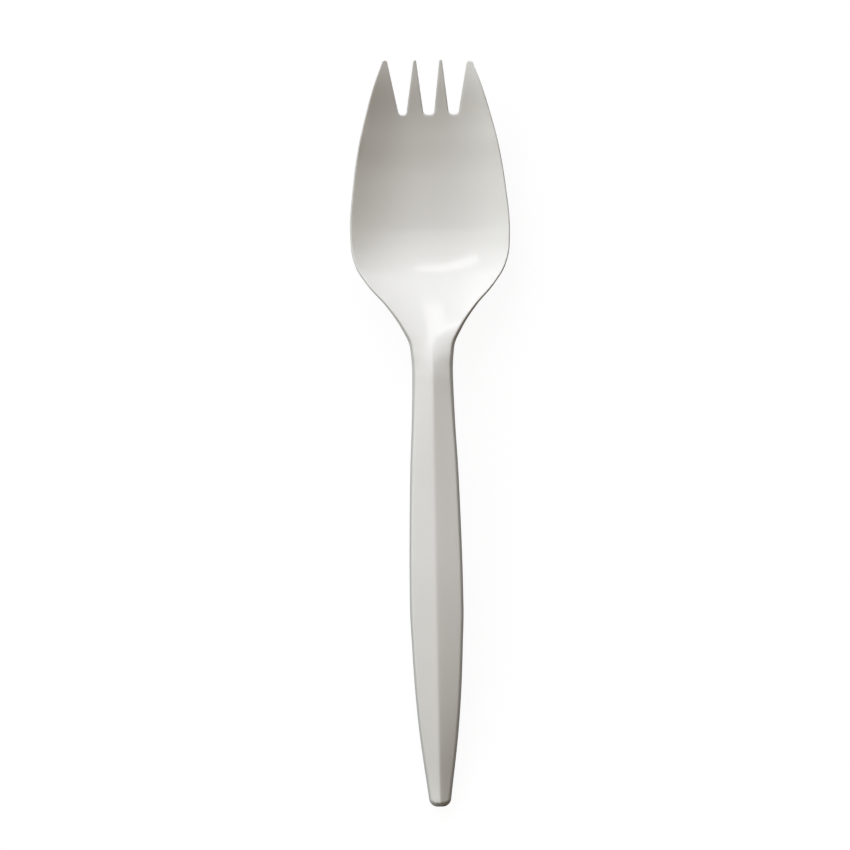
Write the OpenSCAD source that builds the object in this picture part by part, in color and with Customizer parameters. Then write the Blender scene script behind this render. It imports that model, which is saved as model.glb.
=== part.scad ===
// One-piece moulded spork: a dished bowl that ends in four tines, on a hollow handle with a
// ridged roof. It lies along Y with the tines towards +Y, and rests on z = 0 at the belly of
// the bowl and at the end of the handle. A place along it is given by s, the distance from
// the tips of the tines. Each node is one stretch of the same skin, cut square across it, so
// neighbours meet face to face.

/* [Overall] */
// Length from the tips of the tines to the end of the handle
total_length = 146; // [130:1:165]
// Thickness of the bowl and of the handle's roof
wall = 1.1; // [0.9:0.05:1.4]

/* [Bowl] */
// Greatest width of the bowl, over its rim
bowl_width = 31.3; // [28:0.1:36]
// Distance from the tips to the lowest and widest part of the bowl
belly_distance = 32.5; // [29:0.5:35]
// Distance from the tips to the narrowest part of the neck
neck_distance = 60.5; // [57:0.5:66]
// Depth of the bowl below its rim, at the belly
bowl_depth = 5; // [4:0.1:6]
// Height of the outer face of the rim
rim_height = 0.85; // [0.7:0.05:1]
// How far the outer face of the rim leans out
rim_lean = 0.2; // [0.1:0.05:0.5]

/* [Tines] */
// Length of the tines, to the floor of the gaps between them
tine_length = 10.8; // [8:0.1:13]
// Height of the tips over the floor of the bowl, on the centre line
tip_rise = 8.4; // [6:0.1:9]
// Thickness of the tines at their tips
tip_wall = 0.85; // [0.7:0.05:1]
// Width over the outer tines, at the tips
tip_span = 17.2; // [16.5:0.1:19]
// Width of an outer tine at its tip
outer_tip_width = 1.1; // [0.8:0.1:1.4]
// Width of an inner tine at its tip
inner_tip_width = 0.6; // [0.4:0.1:1]
// Width of an inner tine at its root
inner_root_width = 3; // [2.6:0.1:3.4]
// Distance between the centre lines of the two inner tines
inner_pitch = 5.3; // [5:0.1:5.8]
// Width of the two outer gaps at their roots
outer_gap = 1.9; // [1.6:0.1:2.2]
// Radius in the corners of the gaps
gap_fillet = 0.7; // [0.4:0.05:0.75]

/* [Handle] */
// Width of the neck, over the skirts
neck_width = 8; // [7:0.1:9]
// Greatest width of the handle, over the skirts
handle_width = 10.5; // [9.5:0.1:12]
// Distance from the end of the handle to its widest part
swell_distance = 39; // [34:0.5:45]
// Width of the end of the handle, before its corners are rounded
end_width = 4; // [3.7:0.1:5.5]
// Radius of the corners of the end, seen from above
end_corner = 1.5; // [1.2:0.05:1.6]
// Height of the neck's ridge over the floor of the bowl
neck_rise = 11.4; // [9.5:0.1:13]
// Height of the ridge over the long edges of the roof
ridge_height = 1.45; // [0.8:0.05:1.8]
// Depth of the skirts below the edges of the roof
skirt_depth = 2.1; // [1.8:0.05:2.6]
// Thickness of the skirts
skirt_wall = 0.9; // [0.7:0.05:1]
// How far the skirts lean out along the handle
skirt_lean = 0.45; // [0.2:0.05:0.6]
// How far the skirts lean out at the neck
neck_lean = 0.6; // [0.4:0.05:0.7]
// How far the end wall leans out
end_lean = 0.85; // [0.5:0.05:0.95]
// Thickness of the wall that closes the end of the handle
end_wall = 1.2; // [1:0.05:1.4]
// How much of the end's lower edge is cut flat, where the handle rests
rest_depth = 0.2; // [0.1:0.05:0.3]

/* [Hidden] */

// The lines that the form is built on. Each table holds [share of a stretch, share of a size],
// and the stretches are tips to belly, belly to neck, neck to swell and swell to end.
front_width_shares = [[0.15, 0.672], [0.33, 0.785], [0.52, 0.881], [0.74, 0.953]];
back_width_shares = [[0.14, 0.99], [0.27, 0.917], [0.41, 0.712], [0.55, 0.42], [0.7, 0.175], [0.84, 0.028]];
swell_width_shares = [[0.2, 0.18], [0.42, 0.57], [0.68, 0.85], [0.85, 0.97]];
end_width_shares = [[0.18, 0.92], [0.385, 0.8], [0.59, 0.605], [0.745, 0.395], [0.9, 0.15]];
front_rise_shares = [[0.15, 0.785], [0.33, 0.472], [0.43, 0.337], [0.69, 0.093]];
back_rise_shares = [
    [0.09, 0.032], [0.18, 0.093], [0.29, 0.2], [0.42, 0.375], [0.55, 0.545], [0.8, 0.837], [0.91, 0.95]
];
handle_drop_shares = [
    [0.06, 0], [0.29, 0.067], [0.45, 0.122], [0.62, 0.265], [0.755, 0.45], [0.86, 0.662], [0.96, 0.92]
];
front_dish_shares = [[0, 0.24], [0.15, 0.56], [0.33, 0.77], [0.52, 0.965], [0.74, 0.985], [1, 1]];
back_dish_shares = [[0.16, 0.87], [0.34, 0.64], [0.55, 0.335], [0.73, 0.075]];
neck_ridge_shares = [[0.875, -0.54], [1, -1.02]];
handle_ridge_shares = [[0.04, -1.08], [0.23, -0.88], [0.54, -1], [0.86, -1.1], [1, -0.78]];
tine_wall_share = 0.8;
lean_ease_share = 0.3;

swell_station = total_length - swell_distance;
width_line = concat(
    [[0, tip_span / 2]],
    laid_out(front_width_shares, 0, belly_distance, 0, bowl_width / 2),
    [[belly_distance, bowl_width / 2]],
    laid_out(back_width_shares, belly_distance, neck_distance, neck_width / 2, bowl_width / 2),
    [[neck_distance, neck_width / 2]],
    laid_out(swell_width_shares, neck_distance, swell_station, neck_width / 2, handle_width / 2),
    [[swell_station, handle_width / 2]],
    laid_out(end_width_shares, swell_station, total_length, end_width / 2, handle_width / 2),
    [[total_length, end_width / 2]]
);
neck_height = wall + neck_rise;
end_ridge_share = -handle_ridge_shares[len(handle_ridge_shares) - 1][1];
end_height = skirt_depth + end_ridge_share * ridge_height - rest_depth;
crown_line = concat(
    [[0, wall + tip_rise]],
    laid_out(front_rise_shares, 0, belly_distance, wall, wall + tip_rise),
    [[belly_distance, wall]],
    laid_out(back_rise_shares, belly_distance, neck_distance, wall, neck_height),
    [[neck_distance, neck_height]],
    laid_out(handle_drop_shares, neck_distance, total_length, neck_height, end_height),
    [[total_length, end_height]]
);
dish_line = concat(
    laid_out(front_dish_shares, 0, belly_distance, 0, bowl_depth),
    laid_out(back_dish_shares, belly_distance, neck_distance, 0, bowl_depth),
    laid_out(neck_ridge_shares, belly_distance, neck_distance, 0, ridge_height),
    laid_out(handle_ridge_shares, neck_distance, total_length, 0, ridge_height)
);
lean_line = [
    [0, 0],
    [tine_length, rim_lean],
    [belly_distance, rim_lean],
    [neck_distance, neck_lean],
    [mix(neck_distance, swell_station, lean_ease_share), skirt_lean],
    [total_length, skirt_lean]
];
wall_line = [[0, tip_wall], [tine_length, mix(tip_wall, wall, tine_wall_share)], [belly_distance, wall]];

// Across the bowl the skin is a power curve, which turns into the handle's straight roof on
// the way up the neck, where its underside opens into a channel. All are shares of the
// stretch from belly to neck.
dish_power = 2.9;
roof_power = 1;
power_start_share = 0.5;
power_end_share = 0.88;
channel_start_share = 0.4;
channel_end_share = 0.96;

// Where the skin is cut into nodes
neck_start_share = 0.7;
neck_end_share = 0.065;
tine_cut = tine_length - gap_fillet;
neck_start = mix(belly_distance, neck_distance, neck_start_share);
neck_end = mix(neck_distance, total_length, neck_end_share);

// The end wall's inner face has a slope, and its outer face ends in a low upright edge
channel_end_slope = 0.25;
closed_from = total_length - end_wall - channel_end_slope / 2;
end_edge_share = 0.06;

// Columns of points across the skin, as shares of its half width. At the roots of the tines
// they fall on the edges of the tines and on the rounded floors of the gaps.
inner_tine_steps = 4;
outer_tine_steps = 5;
bend_share = cos(45);
centre_gap = inner_pitch - inner_root_width;
root_half_width = half_width(tine_cut);
inner_edge_share = centre_gap / 2 / root_half_width;
outer_edge_share = inner_edge_share + inner_root_width / root_half_width;
shoulder_share = outer_edge_share + outer_gap / root_half_width;
gap_middle_share = (outer_edge_share + shoulder_share) / 2;
half_columns = concat(
    [for (x = gap_points(centre_gap / 2)) if (x >= 0) x / root_half_width],
    [for (i = [1:inner_tine_steps - 1]) mix(inner_edge_share, outer_edge_share, i / inner_tine_steps)],
    [for (x = gap_points(outer_gap / 2)) gap_middle_share + x / root_half_width],
    [for (i = [1:outer_tine_steps]) mix(shoulder_share, 1, i / outer_tine_steps)]
);
columns = both_sides(half_columns);

// The channel's lower lands and upper corners fall on the outermost columns, and the handle
// needs no others
land_share = half_columns[len(half_columns) - 2];
corner_share = half_columns[len(half_columns) - 3];
handle_columns = both_sides([0, corner_share, land_share, 1]);

// Spacing of the cross sections. The end wall's own ones lie on the round corners.
root_rows = 3;
tine_rows = 9;
bowl_step = 1.3;
neck_step = 1;
handle_step = 1.5;
end_corner_shares = [1, 0.66, 0.3, 0.08];
end_face_shares = [1, 0.59, 0.27, 0.07, 0];

// Numbers
function mix(a, b, share) = a + (b - a) * share;
function clamp(x, low, high) = max(low, min(high, x));
function ease(x) = let (c = clamp(x, 0, 1)) c * c * (3 - 2 * c);
function both_sides(list) = concat([for (i = [len(list) - 1:-1:1]) -list[i]], list);

// A table's shares laid out along one stretch, as distances and sizes
function laid_out(shares, from, to, low, high) =
    [for (p = shares) [mix(from, to, p[0]), mix(low, high, p[1])]];

// A smooth curve through the points of a table, which doesn't overshoot them
function secant(t, i) = (t[i + 1][1] - t[i][1]) / (t[i + 1][0] - t[i][0]);
function tangent(t, i) =
    i == 0 ? secant(t, 0)
    : i == len(t) - 1 ? secant(t, i - 1)
    : let (a = secant(t, i - 1), b = secant(t, i)) a * b <= 0 ? 0 : 2 * a * b / (a + b);
function stretch(t, x, i = 0) = i >= len(t) - 2 || x < t[i + 1][0] ? i : stretch(t, x, i + 1);
function curve(t, x) =
    let (
        i = stretch(t, x),
        run = t[i + 1][0] - t[i][0],
        rise = t[i + 1][1] - t[i][1],
        f = clamp((x - t[i][0]) / run, 0, 1),
        a = tangent(t, i) * run,
        b = tangent(t, i + 1) * run
    )
    t[i][1] + f * (a + f * (3 * rise - 2 * a - b + f * (a + b - 2 * rise)));

// How far a round corner draws an outline in, at a distance from the corner's end
function corner_cut(radius, distance) =
    distance >= radius ? 0 : radius - sqrt(radius ^ 2 - (radius - max(0, distance)) ^ 2);

// What a cross section is made of
function half_width(s) = curve(width_line, s);
function neck_share(s) = (s - belly_distance) / (neck_distance - belly_distance);
function eased_share(s, from, to) = ease((neck_share(s) - from) / (to - from));
function outer_half(s) = half_width(s) - corner_cut(end_corner, total_length - s);
function inner_half(s) =
    half_width(s) - curve(lean_line, s)
    - corner_cut(end_corner - end_lean, total_length - s - end_lean);

// A cross section, worked out once for all its points
function section(s) =
    let (
        thickness = curve(wall_line, s),
        openness = eased_share(s, channel_start_share, channel_end_share),
        crown = curve(crown_line, s),
        edge = crown + curve(dish_line, s),
        foot = max(0, edge - mix(rim_height * thickness / wall, skirt_depth, openness)),
        height_share = clamp((total_length - s) / end_lean, end_edge_share, 1)
    )
    [
        s,
        outer_half(s),
        inner_half(s),
        mix(foot, crown, height_share),
        mix(foot, edge, height_share),
        foot,
        mix(dish_power, roof_power, eased_share(s, power_start_share, power_end_share)),
        thickness,
        openness
    ];
function at_y(c) = total_length / 2 - c[0];
function foot_half(c) = c[1];
function edge_half(c) = c[2];
function crown_z(c) = c[3];
function edge_z(c) = c[4];
function foot_z(c) = c[5];
function bend_power(c) = c[6];
function thickness(c) = c[7];
function openness(c) = c[8];
function is_closed(c) = c[0] > closed_from;

// Heights of the upper surface, and of an underside parallel to it
function upper_z(c, x) = crown_z(c) + (edge_z(c) - crown_z(c)) * (abs(x) / edge_half(c)) ^ bend_power(c);
function skin_z(c, x) =
    mix(crown_z(c) - thickness(c), foot_z(c), (abs(x) / foot_half(c)) ^ bend_power(c));

// Upper point of a column. Columns run straight inside the shoulders, and follow the edge of
// the upper surface outside them, so they draw in where the end's corners round it off.
inmost_shoulder_share = 0.9;
function shoulder_x(c) = min(shoulder_share * foot_half(c), inmost_shoulder_share * edge_half(c));
function upper_x(c, u) =
    abs(u) <= shoulder_share ? u / shoulder_share * shoulder_x(c)
    : sign(u) * mix(shoulder_x(c), edge_half(c), (abs(u) - shoulder_share) / (1 - shoulder_share));
function upper(c, u) = let (x = upper_x(c, u)) [x, at_y(c), upper_z(c, x)];

// Lower point of a column, between the parallel underside and the channel
function channel_corners(c) = [
    [0, [0, crown_z(c) - thickness(c)]],
    [corner_share, [edge_half(c) - skirt_wall, edge_z(c) - thickness(c)]],
    [land_share, [foot_half(c) - skirt_wall, foot_z(c)]],
    [1, [foot_half(c), foot_z(c)]]
];
function channel_point(c, u) =
    let (t = channel_corners(c), i = stretch(t, u))
    mix(t[i][1], t[i + 1][1], (u - t[i][0]) / (t[i + 1][0] - t[i][0]));
function lower(c, u) =
    let (
        parallel = [abs(u) * foot_half(c), skin_z(c, u * foot_half(c))],
        closed = [parallel[0], foot_z(c)],
        open = channel_point(c, abs(u)),
        p = mix(parallel, is_closed(c) ? closed : open, openness(c))
    )
    [sign(u) * p[0], at_y(c), p[1]];

// A row holds the upper points and the lower points of a cut through the skin
function row(s, us = columns) = let (c = section(s)) [[for (u = us) upper(c, u)], [for (u = us) lower(c, u)]];

// The front of the bowl: flat at the roots of the tines and scalloped in the gaps
function gap_points(half) = [
    -half,
    -half + gap_fillet * (1 - bend_share),
    -half + gap_fillet,
    0,
    half - gap_fillet,
    half - gap_fillet * (1 - bend_share),
    half
];
function scallop(x, half) = tine_length - corner_cut(gap_fillet, half - abs(x));
function front_station(u) =
    abs(u) < inner_edge_share ? scallop(u * root_half_width, centre_gap / 2)
    : abs(u) > outer_edge_share && abs(u) < shoulder_share ?
        scallop((abs(u) - gap_middle_share) * root_half_width, outer_gap / 2)
    : tine_cut;
function front_row(last, share) =
    let (cuts = [for (u = columns) section(mix(front_station(u), last, share))])
    [
        [for (i = [0:len(columns) - 1]) upper(cuts[i], columns[i])],
        [for (i = [0:len(columns) - 1]) lower(cuts[i], columns[i])]
    ];

// A cut through a tine, given by the x of its upper points and of its lower points
function tine_row(s, upper_xs, lower_xs) =
    let (c = section(s))
    [
        [for (x = upper_xs) [x, at_y(c), upper_z(c, x)]],
        [for (x = lower_xs) [x, at_y(c), skin_z(c, x)]]
    ];

// The round end of a tine: points on a half circle about its centre line
function tip_row(middle, radius, spread) =
    let (
        cuts = [for (f = spread) section(radius * (1 - cos(90 * f)))],
        xs = [for (f = spread) middle + radius * sin(90 * f)]
    )
    [
        [for (i = [0:len(xs) - 1]) [xs[i], at_y(cuts[i]), upper_z(cuts[i], xs[i])]],
        [for (i = [0:len(xs) - 1]) [xs[i], at_y(cuts[i]), skin_z(cuts[i], xs[i])]]
    ];

// Places across a tine from -1 to 1, and along a stretch no further apart than step
function spread_shares(count) = [for (i = [0:count]) 2 * i / count - 1];
function stations(from, to, step) =
    let (count = ceil((to - from) / step))
    [for (i = [0:count]) mix(from, to, i / count)];

// Two triangles on four points. A turned pair has the other diagonal.
function quad(a, b, c, d, turned = false) = turned ? [[b, c, d], [b, d, a]] : [[a, b, c], [a, c, d]];

// Closes rows into a solid. Rows run from the tips towards the end of the handle, and points
// along a row from left to right.
module skin(rows) {
    width = len(rows[0][0]);
    last = len(rows) - 1;
    function top(k, i) = 2 * width * k + i;
    function under(k, i) = top(k, width + i);
    function left(i) = 2 * i < width - 1;
    polyhedron(
        points = [for (r = rows) each concat(r[0], r[1])],
        faces = concat(
            [for (k = [0:last - 1], i = [0:width - 2])
                each quad(top(k, i), top(k, i + 1), top(k + 1, i + 1), top(k + 1, i), left(i))],
            [for (k = [0:last - 1], i = [0:width - 2])
                each quad(under(k, i), under(k + 1, i), under(k + 1, i + 1), under(k, i + 1), left(i))],
            [for (k = [0:last - 1])
                each quad(top(k, 0), top(k + 1, 0), under(k + 1, 0), under(k, 0))],
            [for (k = [0:last - 1])
                each quad(top(k, width - 1), under(k, width - 1), under(k + 1, width - 1), top(k + 1, width - 1))],
            [for (i = [0:width - 2])
                each quad(top(0, i + 1), top(0, i), under(0, i), under(0, i + 1))],
            [for (i = [0:width - 2])
                each quad(top(last, i), top(last, i + 1), under(last, i + 1), under(last, i))]
        ),
        convexity = 8
    );
}

// The dished bowl, from the roots of the tines to the start of the neck
module bowl() {
    first = tine_length + 2 * gap_fillet;
    color("whitesmoke")
        skin(concat(
            [for (i = [0:root_rows - 1]) front_row(first, i / root_rows)],
            [for (s = stations(first, neck_start, bowl_step)) row(s)]
        ));
}

// Where the dish closes up and the skirts and the ridge begin
module neck() {
    color("whitesmoke")
        skin([for (s = stations(neck_start, neck_end, neck_step)) row(s)]);
}

// The ridged roof on its two skirts, with the wall that closes the end
module handle() {
    color("whitesmoke")
        skin(concat(
            [for (s = stations(neck_end, total_length - end_wall - channel_end_slope, handle_step))
                row(s, handle_columns)],
            [for (f = end_corner_shares) row(total_length - mix(end_lean, end_wall, f), handle_columns)],
            [for (f = end_face_shares) row(total_length - end_lean * f, handle_columns)]
        ));
}

// A tine with straight sides and a round tip
module inner_tine(side) {
    radius = inner_tip_width / 2;
    spread = spread_shares(inner_tine_steps);
    function half(s) = mix(radius, inner_root_width / 2, (s - radius) / (tine_cut - radius));
    function across(s) = [for (f = spread) side * inner_pitch / 2 + f * half(s)];
    color("whitesmoke")
        skin(concat(
            [tip_row(side * inner_pitch / 2, radius, spread)],
            [for (s = stations(1.5 * radius, tine_cut, tine_cut / tine_rows))
                tine_row(s, across(s), across(s))]
        ));
}

// A tine whose outer edge carries on the rim of the bowl
module outer_tine(side) {
    radius = outer_tip_width / 2;
    inner_root = shoulder_share * root_half_width;
    inner_tip = half_width(radius) - outer_tip_width;
    spread = spread_shares(outer_tine_steps);
    function inner_side(s) = mix(inner_tip, inner_root, (s - radius) / (tine_cut - radius));
    function across(s, outer) =
        [for (f = spread) side * mix(inner_side(s), outer, (1 + side * f) / 2)];
    color("whitesmoke")
        skin(concat(
            [tip_row(side * (inner_tip + radius), radius, spread)],
            [for (s = stations(1.5 * radius, tine_cut, tine_cut / tine_rows))
                tine_row(s, across(s, inner_half(s)), across(s, outer_half(s)))]
        ));
}

bowl();
outer_tine(-1);  // outer_tine_left
inner_tine(-1);  // inner_tine_left
inner_tine(1);  // inner_tine_right
outer_tine(1);  // outer_tine_right
neck();
handle();
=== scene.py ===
"""Looks of a one-piece moulded spork, dressed round its packed construction.

The spork is one skin: a dished bowl that ends in four tines, a neck, and a hollow handle with
a ridged roof. Form holds its lines, Sheet lays a grid of points inside its outline, and
Moulding joins an upper and a lower sheet by a rounded rim, which a Geometry Nodes tree lifts
to their heights. Everything is in metres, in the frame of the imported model: +Y towards the
tines and +Z up. A station is a distance from the tips of the tines, along -Y.
"""

from __future__ import annotations

import logging
import math
from collections.abc import Sequence
from dataclasses import dataclass
from enum import Enum
from functools import cached_property
from typing import TypeAlias

import bmesh
import bpy
import numpy as np
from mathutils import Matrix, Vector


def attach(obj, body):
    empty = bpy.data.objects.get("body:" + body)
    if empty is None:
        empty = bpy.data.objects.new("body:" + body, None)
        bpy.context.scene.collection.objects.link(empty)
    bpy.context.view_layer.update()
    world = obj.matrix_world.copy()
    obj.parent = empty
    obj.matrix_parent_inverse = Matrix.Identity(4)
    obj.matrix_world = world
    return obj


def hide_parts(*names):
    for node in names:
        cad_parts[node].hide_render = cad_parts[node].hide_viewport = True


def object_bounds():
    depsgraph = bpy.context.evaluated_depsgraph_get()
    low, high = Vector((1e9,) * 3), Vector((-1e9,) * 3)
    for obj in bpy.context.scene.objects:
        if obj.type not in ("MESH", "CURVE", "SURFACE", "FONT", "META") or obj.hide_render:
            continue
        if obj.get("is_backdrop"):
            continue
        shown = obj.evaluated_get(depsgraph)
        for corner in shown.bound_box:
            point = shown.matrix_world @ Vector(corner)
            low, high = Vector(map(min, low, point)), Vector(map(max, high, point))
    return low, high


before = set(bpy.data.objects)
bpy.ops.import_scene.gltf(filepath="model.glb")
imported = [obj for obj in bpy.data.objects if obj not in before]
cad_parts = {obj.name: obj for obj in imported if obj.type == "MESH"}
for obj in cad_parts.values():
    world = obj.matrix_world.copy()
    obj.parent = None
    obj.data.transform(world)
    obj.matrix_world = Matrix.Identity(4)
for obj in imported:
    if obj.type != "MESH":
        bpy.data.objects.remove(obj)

MM = 0.001
MERGE_DISTANCE = 0.001 * MM
WHITE = (1.0, 1.0, 1.0)
SIZE_SOCKETS = dict.fromkeys(("Length", "Step", "Ridge radius", "Skirt wall"), "NodeSocketFloat")
LOG = logging.getLogger("spork")

Shares: TypeAlias = Sequence[tuple[float, float]]
Colour: TypeAlias = tuple[float, float, float]
Value: TypeAlias = "np.ndarray | float | Field"


class Side(Enum):
    """Left and right, seen from above with the tines away."""

    LEFT = -1
    RIGHT = 1


class Face(Enum):
    """The two faces of the skin, as the value that the node tree mixes them by."""

    UPPER = 0.0
    UNDER = 1.0


def mix(a: Value, b: Value, share: Value) -> Value:
    """Blends two numbers, arrays of numbers or fields of a node tree.

    Args:
        a: The value where share is 0.
        b: The value where share is 1.
        share: How far to go from a to b.

    Returns:
        The blended value.
    """
    return a + (b - a) * share


def ease(x: np.ndarray) -> np.ndarray:
    """Rises smoothly from 0 to 1 while x goes from 0 to 1, and stays level outside."""
    c = np.clip(x, 0.0, 1.0)
    return c * c * (3.0 - 2.0 * c)


def laid_out(
    shares: Shares, start: float, end: float, low: float, high: float
) -> list[tuple[float, float]]:
    """Lays a table of shares out along one stretch of the spork.

    Args:
        shares: Pairs of a share of the stretch and a share of the size.
        start: Station where the stretch starts.
        end: Station where it ends.
        low: Size at a share of 0.
        high: Size at a share of 1.

    Returns:
        Pairs of a station and a size.
    """
    return [(mix(start, end, a), mix(low, high, b)) for a, b in shares]


class Line:
    """A smooth line through points, which doesn't overshoot them."""

    def __init__(self, points: Shares) -> None:
        """Keeps the points and works out the slope at each.

        Args:
            points: Pairs of a station and a value, in rising order of station.
        """
        self.x, self.y = np.array(points, float).T
        runs = np.diff(self.y) / np.diff(self.x)
        before, after = runs[:-1], runs[1:]
        rising = before * after > 0
        total = np.where(rising, before + after, 1.0)
        inner = np.where(rising, 2.0 * before * after / total, 0.0)
        self.slopes = np.concatenate((runs[:1], inner, runs[-1:]))

    def __call__(self, at: np.ndarray) -> np.ndarray:
        """Gives the line's value.

        Args:
            at: One station or an array of them.

        Returns:
            The value at each station.
        """
        i = np.clip(np.searchsorted(self.x, at, side="right") - 1, 0, len(self.x) - 2)
        run = self.x[i + 1] - self.x[i]
        rise = self.y[i + 1] - self.y[i]
        f = np.clip((at - self.x[i]) / run, 0.0, 1.0)
        a, b = self.slopes[i] * run, self.slopes[i + 1] * run
        return self.y[i] + f * (a + f * (3.0 * rise - 2.0 * a - b + f * (a + b - 2.0 * rise)))


@dataclass(frozen=True)
class Form:
    """The spork's sizes, and the lines that its cross sections follow.

    The stretches of the lines are tips to belly, belly to neck, neck to swell and swell to end.
    """

    length: float
    bowl_width: float
    height: float
    wall: float = 1.1 * MM
    belly: float = 32.5 * MM
    neck: float = 60.5 * MM
    bowl_depth: float = 5.0 * MM
    rim_height: float = 0.85 * MM
    rim_lean: float = 0.2 * MM
    tine_length: float = 10.45 * MM
    tip_rise: float = 8.4 * MM
    tip_wall: float = 0.85 * MM
    tip_span: float = 17.2 * MM
    outer_tip_width: float = 1.1 * MM
    inner_tip_width: float = 0.6 * MM
    inner_root_width: float = 3.0 * MM
    inner_pitch: float = 5.3 * MM
    outer_gap: float = 1.9 * MM
    gap_fillet: float = 0.7 * MM
    neck_width: float = 8.0 * MM
    handle_width: float = 10.5 * MM
    swell_distance: float = 39.0 * MM
    end_width: float = 4.0 * MM
    end_corner: float = 1.5 * MM
    ridge_height: float = 1.45 * MM
    skirt_depth: float = 2.1 * MM
    skirt_wall: float = 0.9 * MM
    skirt_lean: float = 0.45 * MM
    neck_lean: float = 0.6 * MM
    neck_blend: float = 2.6 * MM
    neck_blend_zone: float = 9.0 * MM
    neck_blend_steps: int = 9
    end_lean: float = 0.85 * MM
    end_wall: float = 1.2 * MM
    rest_depth: float = 0.2 * MM
    front_width_shares: Shares = ((0.15, 0.672), (0.33, 0.785), (0.52, 0.881), (0.74, 0.953))
    back_width_shares: Shares = (
        (0.14, 0.99), (0.27, 0.917), (0.41, 0.712), (0.55, 0.42), (0.7, 0.175), (0.84, 0.028),
    )
    swell_width_shares: Shares = ((0.2, 0.18), (0.42, 0.57), (0.68, 0.85), (0.85, 0.97))
    end_width_shares: Shares = (
        (0.18, 0.92), (0.385, 0.8), (0.59, 0.605), (0.745, 0.395), (0.9, 0.15),
    )
    front_rise_shares: Shares = ((0.15, 0.785), (0.33, 0.472), (0.43, 0.337), (0.69, 0.093))
    back_rise_shares: Shares = (
        (0.09, 0.032), (0.18, 0.093), (0.29, 0.2), (0.42, 0.375),
        (0.55, 0.545), (0.8, 0.837), (0.91, 0.95),
    )
    handle_drop_shares: Shares = (
        (0.06, 0.0), (0.29, 0.067), (0.45, 0.122), (0.62, 0.265),
        (0.755, 0.45), (0.86, 0.662), (0.96, 0.92),
    )
    front_dish_shares: Shares = (
        (0.0, 0.24), (0.15, 0.56), (0.33, 0.77), (0.52, 0.965), (0.74, 0.985), (1.0, 1.0),
    )
    back_dish_shares: Shares = ((0.16, 0.87), (0.34, 0.64), (0.55, 0.335), (0.73, 0.075))
    neck_ridge_shares: Shares = ((0.875, -0.54), (1.0, -1.02))
    handle_ridge_shares: Shares = (
        (0.04, -1.08), (0.23, -0.88), (0.54, -1.0), (0.86, -1.1), (1.0, -0.78),
    )
    tine_wall_share: float = 0.8
    lean_ease_share: float = 0.3
    dish_power: float = 2.9
    roof_power: float = 1.0
    power_start_share: float = 0.5
    power_end_share: float = 0.88
    channel_start_share: float = 0.4
    channel_end_share: float = 0.96
    channel_end_slope: float = 0.5 * MM

    @property
    def tine_cut(self) -> float:
        """Station where the corners of the gaps begin."""
        return self.tine_length - self.gap_fillet

    @property
    def swell(self) -> float:
        """Station of the widest part of the handle."""
        return self.length - self.swell_distance

    @cached_property
    def widths(self) -> Line:
        """Half the width over the foot of the rim and skirts.

        Returns:
            The line, from the tips to the end.
        """
        bowl, neck = self.bowl_width / 2, self.neck_width / 2
        handle, end = self.handle_width / 2, self.end_width / 2
        return Line(
            [(0.0, self.tip_span / 2)]
            + laid_out(self.front_width_shares, 0.0, self.belly, 0.0, bowl)
            + [(self.belly, bowl)]
            + laid_out(self.back_width_shares, self.belly, self.neck, neck, bowl)
            + [(self.neck, neck)]
            + laid_out(self.swell_width_shares, self.neck, self.swell, neck, handle)
            + [(self.swell, handle)]
            + laid_out(self.end_width_shares, self.swell, self.length, end, handle)
            + [(self.length, end)]
        )

    @cached_property
    def crown_line(self) -> Line:
        """Height of the upper face on the centre line, before its bend at the neck is rounded.

        Returns:
            The line, from the tips to the end.
        """
        tip = self.wall + self.tip_rise
        end_ridge = -self.handle_ridge_shares[-1][1] * self.ridge_height
        end = self.skirt_depth + end_ridge - self.rest_depth
        return Line(
            [(0.0, tip)]
            + laid_out(self.front_rise_shares, 0.0, self.belly, self.wall, tip)
            + [(self.belly, self.wall)]
            + laid_out(self.back_rise_shares, self.belly, self.neck, self.wall, self.height)
            + [(self.neck, self.height)]
            + laid_out(self.handle_drop_shares, self.neck, self.length, self.height, end)
            + [(self.length, end)]
        )

    def crowns(self, station: np.ndarray) -> np.ndarray:
        """Height of the upper face on the centre line.

        Args:
            station: Stations to give it at.

        Returns:
            The height at each station, and a mean over a short stretch near the neck's bend.
        """
        station = np.asarray(station, dtype=float)
        nearness = ease(1.0 - np.abs(station - self.neck) / self.neck_blend_zone)
        steps = np.linspace(-1.0, 1.0, self.neck_blend_steps) * self.neck_blend
        return sum(self.crown_line(station + nearness * step) for step in steps) / len(steps)

    @cached_property
    def dishes(self) -> Line:
        """How far the edges of the upper face stand over its centre line.

        Returns:
            The line, from the tips to the end.
        """
        return Line(
            laid_out(self.front_dish_shares, 0.0, self.belly, 0.0, self.bowl_depth)
            + laid_out(self.back_dish_shares, self.belly, self.neck, 0.0, self.bowl_depth)
            + laid_out(self.neck_ridge_shares, self.belly, self.neck, 0.0, self.ridge_height)
            + laid_out(self.handle_ridge_shares, self.neck, self.length, 0.0, self.ridge_height)
        )

    @cached_property
    def leans(self) -> Line:
        """How far the outer face of the rim or skirt leans in, from its foot to its top.

        Returns:
            The line, from the tips to the end.
        """
        return Line([
            (0.0, 0.0),
            (self.tine_length, self.rim_lean),
            (self.belly, self.rim_lean),
            (self.neck, self.neck_lean),
            (mix(self.neck, self.swell, self.lean_ease_share), self.skirt_lean),
            (self.length - self.end_corner, self.skirt_lean),
            (self.length, self.end_lean),
        ])

    @cached_property
    def walls(self) -> Line:
        """Thickness of the skin."""
        root_wall = mix(self.tip_wall, self.wall, self.tine_wall_share)
        return Line([(0.0, self.tip_wall), (self.tine_length, root_wall), (self.belly, self.wall)])

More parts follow.
